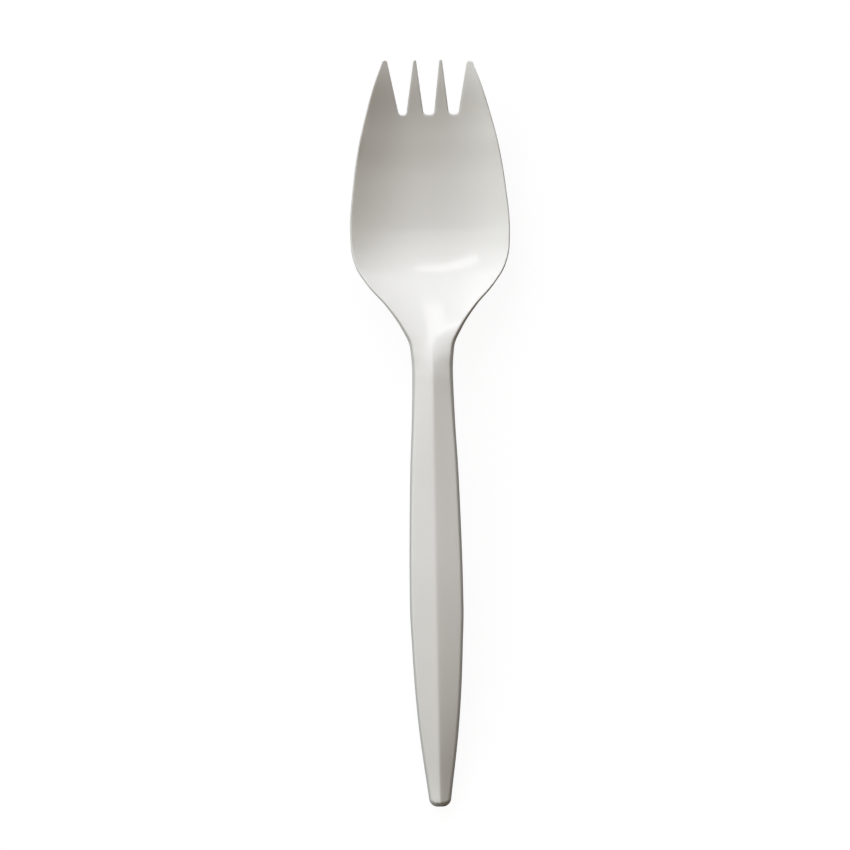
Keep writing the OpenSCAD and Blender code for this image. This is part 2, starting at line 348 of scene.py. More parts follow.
    def eased(self, station: np.ndarray, start: float, end: float) -> np.ndarray:
        """Rises from 0 to 1 between two shares of the stretch from belly to neck.

        Args:
            station: Stations to give it at.
            start: Share of the stretch where it leaves 0.
            end: Share of the stretch where it reaches 1.

        Returns:
            A value from 0 to 1 for each station.
        """
        share = (station - self.belly) / (self.neck - self.belly)
        return ease((share - start) / (end - start))

    def openness(self, station: np.ndarray) -> np.ndarray:
        """How far the underside has opened into the handle's channel, from 0 to 1."""
        return self.eased(station, self.channel_start_share, self.channel_end_share)

    def power(self, station: np.ndarray) -> np.ndarray:
        """Power of the curve across the upper face: a dish in the bowl, straight on the roof."""
        straightened = self.eased(station, self.power_start_share, self.power_end_share)
        return mix(self.dish_power, self.roof_power, straightened)

    def foot(self, station: np.ndarray) -> np.ndarray:
        """Height of the lower edge of the rim or skirt.

        Args:
            station: Stations to give it at.

        Returns:
            The height at each station, never under the floor.
        """
        rim = self.rim_height * self.walls(station) / self.wall
        drop = mix(rim, self.skirt_depth, self.openness(station))
        return np.maximum(0.0, self.crowns(station) + self.dishes(station) - drop)

    def closing(self, station: np.ndarray) -> np.ndarray:
        """How far the channel has closed into the end wall, from 0 to 1."""
        start = self.length - self.end_wall - self.channel_end_slope
        return ease((station - start) / self.channel_end_slope)

    def y(self, station: np.ndarray) -> np.ndarray:
        """Place along Y of a station."""
        return self.length / 2 - station

    def station(self, y: np.ndarray) -> np.ndarray:
        """Station of a place along Y."""
        return self.length / 2 - y


@dataclass(frozen=True)
class Tine:
    """One tine in plan: two sides that run to a round tip."""

    middle: float
    radius: float
    start: float
    root_left: float
    root_right: float
    columns: int
    rim_side: Side | None = None

    @property
    def shoulder(self) -> float:
        """Station where the round tip meets the sides."""
        return self.start + self.radius

    def across(self, side: Side, station: np.ndarray, form: Form) -> np.ndarray:
        """Gives where a side of the tine runs.

        Args:
            side: Which side.
            station: Stations from the shoulder of the tip to the root.
            form: The spork's lines, which the side on the rim follows.

        Returns:
            The place along X at each station.
        """
        if side is self.rim_side:
            return side.value * form.widths(station)
        root = self.root_left if side is Side.LEFT else self.root_right
        share = (station - self.shoulder) / (form.tine_cut - self.shoulder)
        return mix(self.middle + side.value * self.radius, root, share)


@dataclass(frozen=True)
class TinePlan:
    """The four tines and the gaps between them, in plan."""

    form: Form
    outer_columns: int = 12
    inner_columns: int = 8
    corner_steps: int = 3
    floor_steps: int = 2
    blunt_start: float = 0.36 * MM
    blunt_radius: float = 0.7 * MM
    left_shift: float = 0.24 * MM
    right_trim: float = 0.1 * MM

    @cached_property
    def tines(self) -> list[Tine]:
        """The tines, from left to right, with small differences between the two sides.

        The left inner one leans to the right and has a wider root, the right inner one has a
        narrower root, and the right outer one is blunter than the left.

        Returns:
            The four tines.
        """
        form = self.form
        shifts = {Side.LEFT: self.left_shift, Side.RIGHT: 0.0}
        trims = {Side.LEFT: 0.0, Side.RIGHT: self.right_trim}
        starts = {Side.LEFT: 0.0, Side.RIGHT: self.blunt_start}
        radii = {Side.LEFT: form.outer_tip_width / 2, Side.RIGHT: self.blunt_radius}
        tip, root = form.inner_tip_width / 2, form.inner_root_width / 2
        gap_edge = form.inner_pitch / 2 + root + form.outer_gap
        foot = float(form.widths(form.tine_cut))
        inner, outer = [], []
        for side in Side:
            shift, trim, start, radius = shifts[side], trims[side], starts[side], radii[side]
            middle = side.value * form.inner_pitch / 2
            edges = (middle - root + trim, middle + root + shift - trim)
            inner.append(Tine(middle + shift, tip, 0.0, *edges, self.inner_columns))
            middle = side.value * (float(form.widths(start + radius)) - radius)
            edges = sorted((side.value * gap_edge + shift, side.value * foot))
            outer.append(Tine(middle, radius, start, *edges, self.outer_columns, side))
        return [outer[0], *inner, outer[1]]

    def floor(self, left: float, right: float) -> np.ndarray:
        """Gives the floor of a gap: a round corner, a flat and a round corner.

        Args:
            left: X of the left side of the gap at its root.
            right: X of its right side.

        Returns:
            The points between the two sides, from left to right, as rows of x and station.
        """
        radius = self.form.gap_fillet
        turns = np.linspace(0.0, np.pi / 2, self.corner_steps + 1)
        down = self.form.tine_cut + radius * np.sin(turns)
        bow = np.column_stack((radius * (1.0 - np.cos(turns)), down))
        flat = np.linspace(left + radius, right - radius, self.floor_steps + 1)[1:-1]
        level = np.column_stack((flat, np.full(len(flat), self.form.tine_length)))
        near = bow[1:] + (left, 0.0)
        far = bow[:0:-1] * (-1.0, 1.0) + (right, 0.0)
        return np.vstack((near, level, far))


@dataclass
class Sheet:
    """A grid of points that fills the spork's outline, seen from above.

    The first points are the outline itself, in order and anticlockwise. The rest lie inside, so
    the whole grid can be laid again within any other outline that has as many points.
    """

    form: Form
    bowl_step: float = 0.5 * MM
    handle_step: float = 0.9 * MM
    corner_step: float = 0.15 * MM
    end_step: float = 0.06 * MM
    end_zone: float = 1.2 * MM
    corner_zone: float = 3.3 * MM
    gap_zone: float = 3.0 * MM
    spread_zone: float = 15.0 * MM
    tip_zone: float = 1.2 * MM
    tine_rows: int = 24
    tip_crowding: float = 1.3
    end_corner_columns: int = 14

    def __post_init__(self) -> None:
        """Lays out the outline and the grid."""
        self.plan = TinePlan(self.form)
        self.points: list[np.ndarray] = []
        self.leaning: list[float] = []
        self._lay_outline()
        self.rim_count = len(self.points)
        self.count = self.rim_count
        self.tine_grids = [self._tine_grid(i) for i in range(len(self.plan.tines))]
        self.body_grid = self._body_grid()
        self.rim = np.array(self.points)
        self._share_columns()

    @cached_property
    def body_stations(self) -> np.ndarray:
        """Stations of the rows at the body's sides, from the tines' roots to the end's corners.

        Returns:
            The stations, in rising order.
        """
        form = self.form
        last = form.length - form.end_corner
        marks = (
            (form.tine_cut, self.bowl_step),
            (form.neck + self.corner_zone, self.handle_step),
            (last - self.corner_zone, self.corner_step),
            (last - self.end_zone, self.end_step),
            (last, None),
        )
        runs = []
        for (start, step), (end, _) in zip(marks[:-1], marks[1:]):
            runs.append(np.linspace(start, end, round((end - start) / step) + 1)[:-1])
        return np.concatenate((*runs, [last]))

    def tine_stations(self, tine: Tine) -> np.ndarray:
        """Stations of the rows of a tine, crowded towards its tip."""
        shares = np.linspace(0.0, 1.0, self.tine_rows + 1) ** self.tip_crowding
        return mix(tine.shoulder, self.form.tine_cut, shares)

    def _add(self, x: np.ndarray, station: np.ndarray, leaning: float) -> list[int]:
        """Adds a run of points to the outline.

        Args:
            x: Places along X.
            station: Stations of the points.
            leaning: 1 where the rim leans out, 0 in the gaps, where it is upright.

        Returns:
            The numbers of the points.
        """
        x, station = np.broadcast_arrays(x, station)
        first = len(self.points)
        self.points.extend(np.column_stack((x, self.form.y(station))))
        self.leaning.extend([leaning] * len(x))
        return list(range(first, len(self.points)))

    def _lay_outline(self) -> None:
        """Walks round the outline: up the right, over the tines, down the left, along the end."""
        form, tines = self.form, self.plan.tines
        rows = self.body_stations
        self.right_side = self._add(form.widths(rows[::-1]), rows[::-1], 1.0)[::-1]
        self.tine_sides: list[dict[Side, list[int]]] = [{} for _ in tines]
        self.tips: list[list[int]] = [[] for _ in tines]
        self.floors: list[list[int]] = [[] for _ in tines[1:]]
        for i in reversed(range(len(tines))):
            self._lay_tine(i)
            if i > 0:
                floor = self.plan.floor(tines[i - 1].root_right, tines[i].root_left)[::-1]
                self.floors[i - 1] = self._add(floor[:, 0], floor[:, 1], 0.0)[::-1]
        self.left_side = self._add(-form.widths(rows), rows, 1.0)
        self.tine_sides[0][Side.LEFT] += self.left_side[:1]
        self._lay_end()

    def _lay_tine(self, i: int) -> None:
        """Adds a tine to the outline: up its right side, round its tip and down its left side.

        A side on the spork's rim leaves its root out, which is a point of the body's side.

        Args:
            i: Which tine, counted from the left.
        """
        form, tine = self.form, self.plan.tines[i]
        stations = self.tine_stations(tine)
        outermost = tine.rim_side is Side.RIGHT
        up = stations[:-1] if outermost else stations
        edge = tine.across(Side.RIGHT, up, form)
        run = self._add(edge[::-1], up[::-1], float(outermost))[::-1]
        self.tine_sides[i][Side.RIGHT] = run + self.right_side[:1] if outermost else run
        turns = np.pi * np.arange(1, tine.columns) / tine.columns
        x = tine.middle + tine.radius * np.cos(turns)
        self.tips[i] = self._add(x, tine.shoulder - tine.radius * np.sin(turns), 0.0)[::-1]
        last = tine.rim_side is Side.LEFT
        down = stations[:-1] if last else stations
        edge = tine.across(Side.LEFT, down, form)
        self.tine_sides[i][Side.LEFT] = self._add(edge, down, float(last))

    def _lay_end(self) -> None:
        """Adds the handle's end to the outline, from left to right: corner, flat and corner."""
        form = self.form
        columns = sum(t.columns for t in self.plan.tines) + sum(len(f) + 1 for f in self.floors)
        turns = np.linspace(0.0, np.pi / 2, self.end_corner_columns + 1)[1:]
        station = form.length - form.end_corner * (1.0 - np.sin(turns))
        x = form.widths(station) - form.end_corner * (1.0 - np.cos(turns))
        flat = np.linspace(-x[-1], x[-1], columns - 2 * self.end_corner_columns + 1)[1:-1]
        xs = np.concatenate((-x, flat, x[::-1]))
        stations = np.concatenate((station, np.full(len(flat), form.length), station[::-1]))
        self.end = self._add(xs, stations, 1.0)

    def _inside(self, rows: int, columns: int) -> np.ndarray:
        """Numbers new points inside the outline.

        Args:
            rows: How many rows they have.
            columns: How many columns they have.

        Returns:
            The numbers, as a grid.
        """
        first = self.count
        self.count += rows * columns
        return np.arange(first, self.count).reshape(rows, columns)

    def _tine_grid(self, i: int) -> np.ndarray:
        """Numbers the points of a tine.

        Args:
            i: Which tine, counted from the left.

        Returns:
            The point numbers, row by row from the tip.
        """
        left, right = (np.array(self.tine_sides[i][side])[:, None] for side in Side)
        inner = self._inside(len(left) - 1, len(self.tips[i]))
        return np.hstack((left, np.vstack((self.tips[i], inner)), right))

    def _body_grid(self) -> np.ndarray:
        """Numbers the points of the body.

        Returns:
            The point numbers, row by row from the roots of the tines.
        """
        first: list[int] = []
        for i, grid in enumerate(self.tine_grids):
            first.extend(grid[-1])
            if i < len(self.floors):
                first.extend(self.floors[i])
        left, right = (np.array(side)[1:-1, None] for side in (self.left_side, self.right_side))
        inner = self._inside(len(left), len(first) - 2)
        last = [self.left_side[-1], *self.end, self.right_side[-1]]
        return np.vstack((first, np.hstack((left, inner, right)), last))

    def _share_columns(self) -> None:
        """Works out how far across each column of the body runs, from 0 at the left to 1."""
        form = self.form
        rows = self.body_stations
        columns = self.body_grid.shape[1]
        half = float(form.widths(form.tine_cut))
        xs = np.zeros(self.count)
        xs[: self.rim_count] = self.rim[:, 0]
        for grid in self.tine_grids:
            xs[grid[-1]] = np.linspace(xs[grid[-1, 0]], xs[grid[-1, -1]], grid.shape[1])
        root = (xs[self.body_grid[0]] + half) / (2.0 * half)
        even = np.linspace(0.0, 1.0, columns)
        spread = ease((rows - form.tine_cut) / self.spread_zone)[:, None]
        self.shares = mix(root, even, spread)
        front = 1.0 - (rows - form.tine_cut) / self.gap_zone
        end = 1.0 - (rows[-1] - rows) / self.end_zone
        self.front_weight, self.end_weight = (np.clip(w, 0.0, 1.0)[:, None, None] for w in (front, end))

    def filled(self, rim: np.ndarray) -> np.ndarray:
        """Lays the grid inside an outline.

        Args:
            rim: The outline's points, as rows of x and y.

        Returns:
            All points of the sheet, as rows of x and y.
        """
        points = np.zeros((self.count, 2))
        points[: self.rim_count] = rim
        for tine, grid in zip(self.plan.tines, self.tine_grids):
            across = np.linspace(0.0, 1.0, grid.shape[1])[None, :, None]
            straight = mix(points[grid[:, :1]], points[grid[:, -1:]], across)
            down = self.tine_stations(tine) - tine.shoulder
            weight = np.clip(1.0 - down / self.tip_zone, 0.0, 1.0)[:, None, None]
            bow = points[grid[0]] - straight[0]
            points[grid[1:, 1:-1]] = (straight + weight * bow)[1:, 1:-1]
        grid = self.body_grid
        straight = mix(points[grid[:, :1]], points[grid[:, -1:]], self.shares[:, :, None])
        front, end = points[grid[0]] - straight[0], points[grid[-1]] - straight[-1]
        laid = straight + self.front_weight * front + self.end_weight * end
        points[grid[1:-1, 1:-1]] = laid[1:-1, 1:-1]
        return points

    @cached_property
    def normals(self) -> np.ndarray:
        """Directions out of the outline at its points.

        Returns:
            Rows of x and y, each of length 1.
        """
        along = np.roll(self.rim, -1, axis=0) - np.roll(self.rim, 1, axis=0)
        out = np.column_stack((along[:, 1], -along[:, 0]))
        return out / np.linalg.norm(out, axis=1, keepdims=True)

    @cached_property
    def quads(self) -> np.ndarray:
        """The faces of the sheet.

        Returns:
            Rows of four point numbers.
        """
        made = []
        for grid in (*self.tine_grids, self.body_grid):
            corners = (grid[:-1, :-1], grid[1:, :-1], grid[1:, 1:], grid[:-1, 1:])
            made.append(np.stack([c.ravel() for c in corners], axis=1))
        return np.vstack(made)


class Field:
    """A socket of a node tree that sums can be written with."""

    def __init__(self, tree: bpy.types.NodeTree, socket: bpy.types.NodeSocket) -> None:
        """Keeps the tree and the socket."""
        self.tree = tree
        self.socket = socket

    def _math(self, operation: str, *values: Field | float) -> Field:
        """Adds a Math node.

        Args:
            operation: The node's operation.
            values: What goes into its inputs, in order.

        Returns:
            The node's result.
        """
        node = self.tree.nodes.new("ShaderNodeMath")
        node.operation = operation
        for slot, value in zip(node.inputs, values):
            if isinstance(value, Field):
                self.tree.links.new(value.socket, slot)
            else:
                slot.default_value = value
        return Field(self.tree, node.outputs[0])

    def __add__(self, other: Field | float) -> Field:
        """The sum."""
        return self._math("ADD", self, other)

    def __sub__(self, other: Field | float) -> Field:
        """The difference."""
        return self._math("SUBTRACT", self, other)

    def __rsub__(self, other: float) -> Field:
        """The difference from a number."""
        return self._math("SUBTRACT", other, self)

    def __mul__(self, other: Field | float) -> Field:
        """The product."""
        return self._math("MULTIPLY", self, other)

    def __truediv__(self, other: Field | float) -> Field:
        """The quotient."""
        return self._math("DIVIDE", self, other)

    def __pow__(self, other: Field | float) -> Field:
        """The power."""
        return self._math("POWER", self, other)

    def __abs__(self) -> Field:
        """The size without its sign."""
        return self._math("ABSOLUTE", self)

    def root(self) -> Field:
        """The square root."""
        return self._math("SQRT", self)

    def floor(self) -> Field:
        """The whole number below."""
        return self._math("FLOOR", self)

    def least(self, other: Field | float) -> Field:
        """The smaller of two values."""
        return self._math("MINIMUM", self, other)

    def parts(self) -> tuple[Field, Field, Field]:
        """The three parts of a vector.

        Returns:
            The parts along X, Y and Z.
        """
        node = self.tree.nodes.new("ShaderNodeSeparateXYZ")
        self.tree.links.new(self.socket, node.inputs[0])
        return tuple(Field(self.tree, out) for out in node.outputs)


class Tree:
    """A Geometry Nodes tree with named inputs, and the few nodes that the spork's trees use."""

    def __init__(self, name: str, inputs: dict[str, str], outputs: dict[str, str]) -> None:
        """Makes the tree and its interface.

        Args:
            name: Name of the tree.
            inputs: Kind of socket for each input's name.
            outputs: Kind of socket for each output's name.
        """
        self.tree = bpy.data.node_groups.new(name, "GeometryNodeTree")
        for in_out, sockets in (("INPUT", inputs), ("OUTPUT", outputs)):
            for label, kind in sockets.items():
                self.tree.interface.new_socket(name=label, in_out=in_out, socket_type=kind)
        self.start = self.tree.nodes.new("NodeGroupInput")
        self.end = self.tree.nodes.new("NodeGroupOutput")

    def given(self, label: str) -> Field:
        """One of the tree's inputs."""
        return Field(self.tree, self.start.outputs[label])

    def field(
        self, kind: str, inputs: dict[str, object] | None = None, out: int | str = 0, **settings: object
    ) -> Field:
        """Adds a node and gives one of its outputs.

        Args:
            kind: Type of the node.
            inputs: A field or a plain value for each input's name.
            out: Number or name of the output.
            settings: The node's own settings.

        Returns:
            The output.
        """
        made = self.tree.nodes.new(kind)
        for key, value in settings.items():
            setattr(made, key, value)
        for label, value in (inputs or {}).items():
            if isinstance(value, Field):
                self.tree.links.new(value.socket, made.inputs[label])
            else:
                made.inputs[label].default_value = value
        return Field(self.tree, made.outputs[out])

    def attribute(self, name: str, kind: str = "FLOAT") -> Field:
        """An attribute of the points that the tree works on."""
        reader = "GeometryNodeInputNamedAttribute"
        return self.field(reader, {"Name": name}, "Attribute", data_type=kind)

    def vector(self, *parts: Field) -> Field:
        """A vector of three parts."""
        return self.field("ShaderNodeCombineXYZ", dict(zip("XYZ", parts)))

    def done(self, **outputs: Field) -> bpy.types.GeometryNodeTree:
        """Links the tree's outputs.

        Args:
            outputs: What goes to each output.

        Returns:
            The finished tree.
        """
        for label, value in outputs.items():
            self.tree.links.new(value.socket, self.end.inputs[label])
        return self.tree


def set_inputs(modifier: bpy.types.NodesModifier, values: dict[str, object]) -> None:
    """Sets a Geometry Nodes modifier's inputs by the identifiers of their sockets.

    Args:
        modifier: The modifier, with its tree in place.
        values: A value for each input's name.
    """
    for item in modifier.node_group.interface.items_tree:
        if item.item_type == "SOCKET" and item.in_out == "INPUT" and item.name in values:
            modifier[item.identifier] = values[item.name]


def grown(
    source: bpy.types.Object, tree: bpy.types.GeometryNodeTree, values: dict[str, object]
) -> bpy.types.Mesh:
    """Runs a tree on an object and gives the result as a plain mesh.

    Args:
        source: The object that the tree starts from, which is deleted afterwards.
        tree: The tree.
        values: A value for each of the tree's named inputs.

    Returns:
        The mesh, merged, closed and with its faces pointing outwards.
    """
    modifier = source.modifiers.new(tree.name, "NODES")
    modifier.node_group = tree
    set_inputs(modifier, values)
    depsgraph = bpy.context.evaluated_depsgraph_get()
    mesh = bpy.data.meshes.new_from_object(source.evaluated_get(depsgraph), depsgraph=depsgraph)
    source.modifiers.remove(modifier)
    bpy.data.objects.remove(source)
    work = bmesh.new()
    work.from_mesh(mesh)
    bmesh.ops.remove_doubles(work, verts=work.verts, dist=MERGE_DISTANCE)
    bmesh.ops.recalc_face_normals(work, faces=work.faces)
    work.to_mesh(mesh)
    work.free()
    return mesh


def new_object(name: str, data: bpy.types.ID) -> bpy.types.Object:
    """Puts a mesh, a lamp or a camera into the scene at the origin.

    Args:
        name: Name of the object.
        data: Its mesh, lamp or camera.

    Returns:
        The object.
    """
    made = bpy.data.objects.new(name, data)
    bpy.context.scene.collection.objects.link(made)
    return made


def new_mesh(
    name: str, points: np.ndarray, faces: np.ndarray, attributes: dict[str, np.ndarray]
) -> bpy.types.Mesh:
    """Makes a mesh whose points carry attributes.

    Args:
        name: Name of the mesh.
        points: Rows of x, y and z.
        faces: Rows of point numbers.
        attributes: One number or one vector a point for each name.

    Returns:
        The mesh.
    """
    mesh = bpy.data.meshes.new(name)
    mesh.from_pydata(points.tolist(), [], faces.tolist())
    for label, values in attributes.items():
        flat = values.ndim == 1
        layer = mesh.attributes.new(label, "FLOAT" if flat else "FLOAT_VECTOR", "POINT")
        layer.data.foreach_set("value" if flat else "vector", values.astype(np.float32).ravel())
    return mesh


@dataclass
class Spine:
    """A row of points under the centre line, which carries the values of each cross section."""

    form: Form
    step: float = 0.1 * MM

    def build(self) -> bpy.types.Object:
        """Makes the row of points, at even steps along the spork.

        Returns:
            An object of loose points.
        """
        form = self.form
        stations = np.arange(round(form.length / self.step) + 1) * self.step
        zero = np.zeros_like(stations)
        rules = {
            "spine_plan": (form.widths, form.leans, form.power),
            "spine_heights": (form.crowns, form.dishes, form.foot),
            "spine_skin": (form.walls, form.openness, form.closing),
        }
        values = {}
        for name, three in rules.items():
            values[name] = np.column_stack([rule(stations) for rule in three])
        points = np.column_stack((zero, form.y(stations), zero))
        return new_object("spine", new_mesh("spine", points, np.zeros((0, 3), int), values))


def softened(x: Field, radius: Field) -> Field:
    """Distance from a ridge whose top is rounded."""
    return (x * x + radius * radius).root() - radius


def height_tree() -> bpy.types.GeometryNodeTree:
    """Makes the rule that gives the height of the skin over a place in the plan.

    Returns:
        A tree for use inside others, with the height as its output.
    """
    rule = Tree(
        "skin_height",
        {
            "Spine": "NodeSocketGeometry",
            **SIZE_SOCKETS,
            "Place": "NodeSocketVector",
            "Under": "NodeSocketFloat",
            "Across": "NodeSocketFloat",
            "Roof share": "NodeSocketFloat",
        },
        {"Height": "NodeSocketFloat"},
    )
    x, y, _ = rule.given("Place").parts()
    place = (rule.given("Length") * 0.5 - y) / rule.given("Step")
    low = place.floor()

    def sampled(name: str) -> tuple[Field, Field, Field]:
        """Reads three of the spine's values at the place, between its two nearest points.

        Args:
            name: Name of the attribute that holds them.

        Returns:
            The three values.
        """
        kind = "FLOAT_VECTOR"
        ends = []
        for step in (0.0, 1.0):
            wanted = {
                "Geometry": rule.given("Spine"),
                "Value": rule.attribute(name, kind),
                "Index": low + step,
            }
            sample = rule.field("GeometryNodeSampleIndex", wanted, data_type=kind, clamp=True)
            ends.append(sample.parts())
        return tuple(mix(a, b, place - low) for a, b in zip(*ends))

    width, lean, power = sampled("spine_plan")
    crown, dish, foot = sampled("spine_heights")
    wall, openness, closing = sampled("spine_skin")
    radius = rule.given("Ridge radius")
    edge = width - lean
    off_centre = softened(abs(x), radius)
    upper = crown + dish * (off_centre / softened(edge, radius)) ** power
    closed = mix(crown - wall, foot, rule.given("Across") ** power)
    roof_reach = (off_centre / softened(edge - rule.given("Skirt wall"), radius)).least(1.0)
    opened = mix(foot, crown - wall + dish * roof_reach, rule.given("Roof share"))
    under = mix(mix(closed, opened, openness), foot, closing)
    return rule.done(Height=mix(upper, under, rule.given("Under")))


@dataclass
class Moulding:
    """The spork's skin: an upper and a lower sheet, joined all round by a rounded rim."""

    form: Form
    rim_radius: float = 0.22 * MM
    skirt_radius: float = 0.32 * MM
    gap_radius: float = 0.2 * MM
    gap_lean: float = 0.15 * MM
    foot_radius: float = 0.25 * MM
    land_radius: float = 0.15 * MM
    ridge_radius: float = 0.3 * MM
    channel_foot_radius: float = 0.12 * MM
    channel_roof_radius: float = 0.4 * MM
    rim_steps: int = 4
    longest_round_share: float = 0.45

    def channel_offsets(self) -> tuple[np.ndarray, np.ndarray, np.ndarray]:
        """Works out the channel's land, inner wall and corners, from the outline inwards.

        Returns:
            For each column: how far in it lies, how much of the skirt's lean is added to that,
            and its share of the height from the foot to the roof.
        """
        form = self.form
        wall_height = form.skirt_depth - form.wall
        low, high = self.channel_foot_radius / wall_height, self.channel_roof_radius / wall_height
        foot = ((-self.channel_foot_radius, 0.0, 0.0), (0.0, 0.0, 0.0), (0.0, low, low))
        reach = self.channel_roof_radius
        roof = ((0.0, 1.0 - high, 1.0 - high), (0.0, 1.0, 1.0), (reach, 1.0, 1.0))
        rows = [np.array((self.land_radius - form.skirt_wall, 0.0, 0.0))]
        for corner, steps in ((foot, self.rim_steps - 1), (roof, self.rim_steps)):
            a, b, c = np.array(corner)
            for q in np.linspace(0.0, 1.0, steps + 1):
                rows.append(mix(mix(a, b, q), mix(b, c, q), q))
        table = np.array(rows)
        return form.skirt_wall + table[:, 0], table[:, 1], table[:, 2]

    def under_plan(self, sheet: Sheet, plan: np.ndarray) -> tuple[np.ndarray, np.ndarray]:
        """Draws the columns of the lower sheet in to the walls of the channel.

        Args:
            sheet: The grid.
            plan: The lower sheet's points as laid inside its outline.

        Returns:
            The moved points, and each point's share of the height from the foot to the roof.
        """
        form = self.form
        offsets, leans, roofs = self.channel_offsets()
        grid = sheet.body_grid
        half = grid.shape[1] // 2
        rank = np.minimum(np.arange(grid.shape[1]), np.arange(grid.shape[1])[::-1])
        station = form.station(plan[grid, 1])
        width = form.widths(station)
        lean = form.leans(station)
        edge = np.minimum(rank, len(offsets) - 1)
        wall_x = width - offsets[edge] - leans[edge] * lean
        inward = np.clip((rank - edge) / (half - (len(offsets) - 1)), 0.0, 1.0)
        channel = wall_x * (1.0 - inward) * np.sign(plan[grid, 0])
        share = form.openness(station) * (1.0 - sheet.end_weight[:, :, 0])
        moved = plan.copy()
        laid = mix(plan[grid, 0], channel, share)
        moved[grid[1:-1, 1:-1], 0] = laid[1:-1, 1:-1]
        roof_share = np.zeros(len(plan))
        roof_share[grid] = roofs[edge][None, :]
        return moved, roof_share

    def rim_sizes(self, sheet: Sheet) -> tuple[np.ndarray, np.ndarray, np.ndarray]:
        """Works out how far the rim leans in and how round its two corners are.

        Args:
            sheet: The grid.

        Returns:
            The lean, the radius at the top and the radius at the foot, for each point of the rim.
        """
        form = self.form
        stations = form.station(sheet.rim[:, 1])
        leaning = np.array(sheet.leaning)
        down_tine = np.clip(stations / form.tine_length, 0.0, 1.0)
        lean = mix(self.gap_lean * down_tine, form.leans(stations), leaning)
        top = mix(self.rim_radius, self.skirt_radius, form.openness(stations))
        top = mix(self.gap_radius, top, leaning * down_tine)
        low = mix(self.foot_radius, self.land_radius, form.openness(stations))
        low = np.where(leaning > 0, mix(self.gap_radius, low, down_tine), self.gap_radius)
        return lean[:, None], top[:, None], low[:, None]

    def layers(self, sheet: Sheet) -> dict[str, np.ndarray]:
        """Works out the values of the skin's points: upper sheet, rings of the rim, lower sheet.

        A point of the rim lies on a curve that bends from its own sheet, past a corner of the
        rim, towards the far corner, so it carries all three places.

        Args:
            sheet: The grid.

        Returns:
            The values by their names, among them "plan", which is where the points lie.
        """
        form = self.form
        out = sheet.normals
        lean, top, low = self.rim_sizes(sheet)
        edge_top, edge_foot = sheet.rim - out * lean, sheet.rim
        upper = sheet.filled(edge_top - out * top)
        under = sheet.filled(edge_foot - out * low)
        across = np.abs(under[:, 0]) / form.widths(form.station(under[:, 1]))
        under, roof_share = self.under_plan(sheet, under)
        rim_across = np.abs(edge_foot[:, 0]) / form.widths(form.station(edge_foot[:, 1]))
        n, r = sheet.count, sheet.rim_count
        made: dict[str, list[np.ndarray]] = {}

        def add(
            plan: np.ndarray, corner: np.ndarray, far: np.ndarray, bend: float, radius: np.ndarray,
            face: Face, shares: np.ndarray, roof: np.ndarray,
        ) -> None:
            """Adds a layer of points with all their attributes.

            Args:
                plan: Where the points lie on their own sheet, in plan.
                corner: The nearer corner of the rim.
                far: The farther corner of the rim.
                bend: How far the points have gone along the curve of the rim, from 0 to 1.
                radius: Radius of the rounding.
                face: The face that the points belong to.
                shares: How far across the spork the three places lie, from 0 to 1.
                roof: Share of the height from the foot to the roof of the channel.
            """
            count = len(plan)
            values = {
                "plan": plan,
                "corner": corner,
                "far": far,
                "bend": np.full(count, bend),
                "radius": radius,
                "under": np.full(count, face.value),
                "across": shares,
                "roof_share": roof,
            }
            for label, value in values.items():
                made.setdefault(label, []).append(value)

        still, blank = np.zeros(n), np.zeros(r)
        upper_far = np.column_stack((blank, blank, rim_across))
        under_far = np.column_stack((across[:r], rim_across, blank))
        under_own = np.column_stack((across, still, still))
        add(upper, upper, upper, 0.0, still, Face.UPPER, np.zeros((n, 3)), still)
        bends = np.arange(1, self.rim_steps + 1) / self.rim_steps
        for bend in bends:
            add(upper[:r], edge_top, edge_foot, bend, top[:, 0], Face.UPPER, upper_far, blank)
        for bend in bends[::-1]:
            add(under[:r], edge_foot, edge_top, bend, low[:, 0], Face.UNDER, under_far, blank)
        add(under, under, under, 0.0, still, Face.UNDER, under_own, roof_share)

        joined = {label: np.concatenate(parts) for label, parts in made.items()}
        for label in ("plan", "corner", "far"):
            joined[label] = np.column_stack((joined[label], np.zeros(len(joined[label]))))
        return joined

    def faces(self, sheet: Sheet) -> np.ndarray:
        """Lists the faces of the two sheets and of the rings between them.

        Args:
            sheet: The grid.

        Returns:
            Rows of four point numbers.
        """
        n, r = sheet.count, sheet.rim_count
        under_first = n + 2 * self.rim_steps * r
        starts = [0, *range(n, under_first + 1, r)]
        rings = [start + np.arange(r) for start in starts]
        faces = [sheet.quads, (sheet.quads + under_first)[:, ::-1]]
        for a, b in zip(rings[:-1], rings[1:]):
            faces.append(np.stack((a, b, np.roll(b, -1), np.roll(a, -1)), axis=1))
        return np.vstack(faces)

    def flat_mesh(self) -> bpy.types.Mesh:
        """Lays the skin out flat, with what the height rule needs on its points.

        Returns:
            The mesh, closed but without heights.
        """
        sheet = Sheet(self.form)
        values = self.layers(sheet)
        points = values.pop("plan")
        return new_mesh("moulding", points, self.faces(sheet), values)

